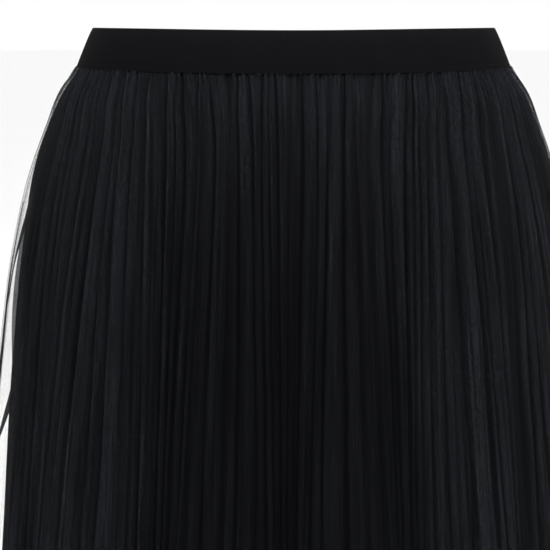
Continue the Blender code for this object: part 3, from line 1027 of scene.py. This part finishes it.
def stitch_tree():
    """The tree that lays stitches along a line, with named sizes, made once."""
    if "stitch_line" in bpy.data.node_groups:
        return bpy.data.node_groups["stitch_line"]
    material = thread_material()
    tree = bpy.data.node_groups.new("stitch_line", "GeometryNodeTree")
    face = tree.interface
    face.new_socket("Geometry", in_out="INPUT", socket_type="NodeSocketGeometry")
    for name, value in (("Pitch", 0.0034), ("Stitch Length", 0.0028), ("Thread", 0.0004)):
        socket = face.new_socket(name, in_out="INPUT", socket_type="NodeSocketFloat")
        socket.default_value = value
    face.new_socket("Geometry", in_out="OUTPUT", socket_type="NodeSocketGeometry")
    given = add_node(tree, "NodeGroupInput").outputs
    line = add_node(tree, "GeometryNodeMeshToCurve", {"Mesh": given["Geometry"]})
    even = add_node(tree, "GeometryNodeResampleCurve", {"Curve": line.outputs[0], "Length": given["Pitch"]},
                    mode="LENGTH")
    tangent = add_node(tree, "GeometryNodeInputTangent")
    turn = add_node(tree, "FunctionNodeAlignRotationToVector", {"Vector": tangent.outputs[0]}, axis="Z")
    bead = add_node(tree, "GeometryNodeMeshUVSphere", {"Segments": 6, "Rings": 5, "Radius": 0.5})
    size = add_node(tree, "ShaderNodeCombineXYZ",
                    {0: given["Thread"], 1: given["Thread"], 2: given["Stitch Length"]})
    shaped = add_node(tree, "GeometryNodeTransform", {"Geometry": bead.outputs[0], "Scale": size.outputs[0]})
    placed = add_node(tree, "GeometryNodeInstanceOnPoints",
                      {"Points": even.outputs[0], "Instance": shaped.outputs[0], "Rotation": turn.outputs[0]})
    real = add_node(tree, "GeometryNodeRealizeInstances", {"Geometry": placed.outputs[0]})
    dressed = add_node(tree, "GeometryNodeSetMaterial", {"Geometry": real.outputs[0], "Material": material})
    add_node(tree, "NodeGroupOutput", {0: dressed.outputs[0]})
    return tree


def stitch_line(name, points, closed, tree, sizes):
    """Stitches along a line of points, as a plain mesh."""
    mesh = bpy.data.meshes.new(name)
    edges = [(index, index + 1) for index in range(len(points) - 1)]
    if closed:
        edges.append((len(points) - 1, 0))
    mesh.from_pydata(sway(points).tolist(), edges, [])
    line = bpy.data.objects.new(name, mesh)
    bpy.context.collection.objects.link(line)
    modifier = line.modifiers.new("stitches", "NODES")
    modifier.node_group = tree
    for item in tree.interface.items_tree:
        if item.in_out == "INPUT" and item.name in sizes:
            modifier[item.identifier] = sizes[item.name]
    graph = bpy.context.evaluated_depsgraph_get()
    result = bpy.data.meshes.new_from_object(line.evaluated_get(graph))
    line.modifiers.remove(modifier)
    line.data = result
    result.name = name
    return line


def stitch_sizes(settings):
    """The sizes of a row of stitches, by the names of the tree's inputs."""
    length = STITCH_SHARE * settings.stitch_pitch
    return {"Pitch": settings.stitch_pitch, "Stitch Length": length, "Thread": settings.thread}


def sew_side_seams(settings, tree):
    """A row of small stitches down each side seam of the tulle."""
    drops = np.linspace(OVERSKIRT[0].drop + 0.002, OVERSKIRT[-1].drop - 0.001, 300)
    sections = smooth_sections(OVERSKIRT, drops)
    for side, angle in (("left", -90.0), ("right", 90.0)):
        line = ring_points(sections, np.full((len(drops), 1), angle), SEAM_STITCH_INSET)[:, 0]
        declare(stitch_line(f"tulle_seam_{side}", line, False, tree, stitch_sizes(settings)), "tulle")


def sew_lining(settings, tree):
    """The lining's hem with its two rows, its join to the band, and the overcast seam edges."""
    sizes = stitch_sizes(settings)
    around = np.linspace(-90.0, 270.0, 721)[:-1]
    hem = LINING[-1].drop - settings.hem_height
    for name, drop, inset in (("hem_upper", hem, 0.0), ("hem_lower", hem + settings.hem_rows_apart, 0.0),
                              ("join", LINING[0].drop + 0.003, settings.thickness)):
        ring = lining_grid(np.array([drop]), around, inset)[0][0]
        declare(stitch_line(f"lining_{name}", ring, True, tree, sizes), "jersey")
    drops = np.linspace(ALLOWANCE_TOP, hem - 0.005, 200)
    inside = 2.0 * settings.thickness + OVERCAST_INSET
    for panel in PANELS:
        for side, edge, way in (("start", panel.start, 1.0), ("end", panel.end, -1.0)):
            angles = allowance_angles(drops, edge, way, settings.allowance - 0.001)
            outer = angles[:, -1:] if way > 0 else angles[:, :1]
            line = lining_grid(drops, outer, inside)[0][:, 0]
            declare(stitch_line(f"overcast_{panel.name}_{side}", line, False, tree, sizes), "jersey")


class SKIRT_OT_waistband(bpy.types.Operator):
    """Makes the elastic waistband and the stitching above its foot"""
    bl_idname = "skirt.waistband"
    bl_label = "Waistband"

    def execute(self, context):
        settings = context.scene.skirt_band
        build_waistband(settings, elastic_material(settings))
        height = BAND_LOW[2] + settings.seam_height
        ring = band_ring(settings, height, BAND_STITCH_INSET, 2 * BAND_COLUMNS)
        declare(stitch_line("band_stitches", ring, True, stitch_tree(), stitch_sizes(settings)), "elastic")
        return {"FINISHED"}


class SKIRT_OT_overskirt(bpy.types.Operator):
    """Makes the two pleated panels of tulle and their side seams"""
    bl_idname = "skirt.overskirt"
    bl_label = "Overskirt"

    def execute(self, context):
        settings = context.scene.skirt_tulle
        material = tulle_material(settings)
        for panel in PANELS:
            build_overskirt_panel(panel, settings, material)
        sew_side_seams(settings, stitch_tree())
        return {"FINISHED"}


class SKIRT_OT_lining(bpy.types.Operator):
    """Makes the two panels of the lining, their hem and their seams"""
    bl_idname = "skirt.lining"
    bl_label = "Lining"

    def execute(self, context):
        settings = context.scene.skirt_lining
        material = jersey_material(settings)
        for panel in PANELS:
            build_lining_panel(panel, settings, material)
        sew_lining(settings, stitch_tree())
        return {"FINISHED"}


class SKIRT_OT_stage(bpy.types.Operator):
    """Makes the backdrop, the lights and the camera"""
    bl_idname = "skirt.stage"
    bl_label = "Stage"

    def execute(self, context):
        settings = context.scene.skirt_stage
        build_backdrop(settings)
        build_lights()
        build_camera(settings)
        return {"FINISHED"}


def build_backdrop(settings):
    """A wide round pale floor under the hem."""
    floor = HEM_LOW[2] - settings.floor_gap
    made = bmesh.new()
    bmesh.ops.create_circle(made, cap_ends=True, segments=96, radius=60.0)
    for point in made.verts:
        point.co.z = floor
    mesh = bpy.data.meshes.new("floor")
    made.to_mesh(mesh)
    made.free()
    mesh.materials.append(stage_material())
    backdrop = bpy.data.objects.new("floor", mesh)
    bpy.context.collection.objects.link(backdrop)


def area_light(name, place, target, size, power):
    """A round lamp that points at a target."""
    light = bpy.data.lights.new(name, "AREA")
    light.shape = "DISK"
    light.size = size
    light.energy = power
    lamp = bpy.data.objects.new(name, light)
    lamp.location = place
    lamp.rotation_euler = (Vector(target) - Vector(place)).to_track_quat("-Z", "Y").to_euler()
    bpy.context.collection.objects.link(lamp)


def build_lights():
    """A pale world, a light overhead and a broad one to each side, the right one stronger."""
    world = bpy.data.worlds.new("studio")
    world.use_nodes = True
    background = world.node_tree.nodes["Background"]
    background.inputs["Color"].default_value = (1.0, 1.0, 1.0, 1.0)
    background.inputs["Strength"].default_value = 1.0
    bpy.context.scene.world = world
    area_light("overhead", (0.0, -0.6, 1.3), (0.0, 0.0, 0.0), 0.8, 22.0)
    area_light("left", (-1.5, -0.8, 0.7), (0.0, 0.0, -0.05), 0.8, 34.0)
    area_light("right", (1.5, -1.0, 0.6), (0.0, 0.0, -0.10), 0.8, 50.0)
    view = bpy.context.scene.view_settings
    view.view_transform = "Standard"
    bpy.context.scene.cycles.transparent_max_bounces = 32


def build_camera(settings):
    """A camera in front that looks down a little."""
    camera = bpy.data.cameras.new("camera")
    camera.sensor_width = 36.0
    camera.lens = settings.lens
    camera.clip_end = 60.0
    holder = bpy.data.objects.new("camera", camera)
    holder.location = (settings.aside, -settings.distance, BAND_TOP - settings.below)
    holder.rotation_euler = (0.5 * math.pi - settings.pitch, 0.0, 0.0)
    bpy.context.collection.objects.link(holder)
    bpy.context.scene.camera = holder


class SKIRT_PT_panel(bpy.types.Panel):
    """Lists the skirt's pieces and their sizes"""
    bl_label = "Maxi Skirt"
    bl_idname = "SKIRT_PT_panel"
    bl_space_type = "VIEW_3D"
    bl_region_type = "UI"
    bl_category = "Skirt"

    def draw(self, context):
        for group, operator in PIECES:
            box = self.layout.box()
            settings = getattr(context.scene, group)
            for name in settings.__annotations__:
                box.prop(settings, name)
            box.operator(operator)


PIECES = (
    ("skirt_band", "skirt.waistband"), ("skirt_tulle", "skirt.overskirt"),
    ("skirt_lining", "skirt.lining"), ("skirt_stage", "skirt.stage"),
)
CLASSES = (
    SkirtBandSettings, SkirtTulleSettings, SkirtLiningSettings, SkirtStageSettings,
    SKIRT_OT_waistband, SKIRT_OT_overskirt, SKIRT_OT_lining, SKIRT_OT_stage, SKIRT_PT_panel,
)


def register():
    """Adds the classes, and the settings to the scene."""
    for item in CLASSES:
        bpy.utils.register_class(item)
    bpy.types.Scene.skirt_band = PointerProperty(type=SkirtBandSettings)
    bpy.types.Scene.skirt_tulle = PointerProperty(type=SkirtTulleSettings)
    bpy.types.Scene.skirt_lining = PointerProperty(type=SkirtLiningSettings)
    bpy.types.Scene.skirt_stage = PointerProperty(type=SkirtStageSettings)


def unregister():
    """Takes the settings and the classes away again."""
    for group, _ in PIECES:
        delattr(bpy.types.Scene, group)
    for item in reversed(CLASSES):
        bpy.utils.unregister_class(item)


def main():
    """Makes the skirt and its stage."""
    register()
    bpy.ops.skirt.waistband()
    bpy.ops.skirt.overskirt()
    bpy.ops.skirt.lining()
    bpy.ops.skirt.stage()


if __name__ == "__main__":
    main()
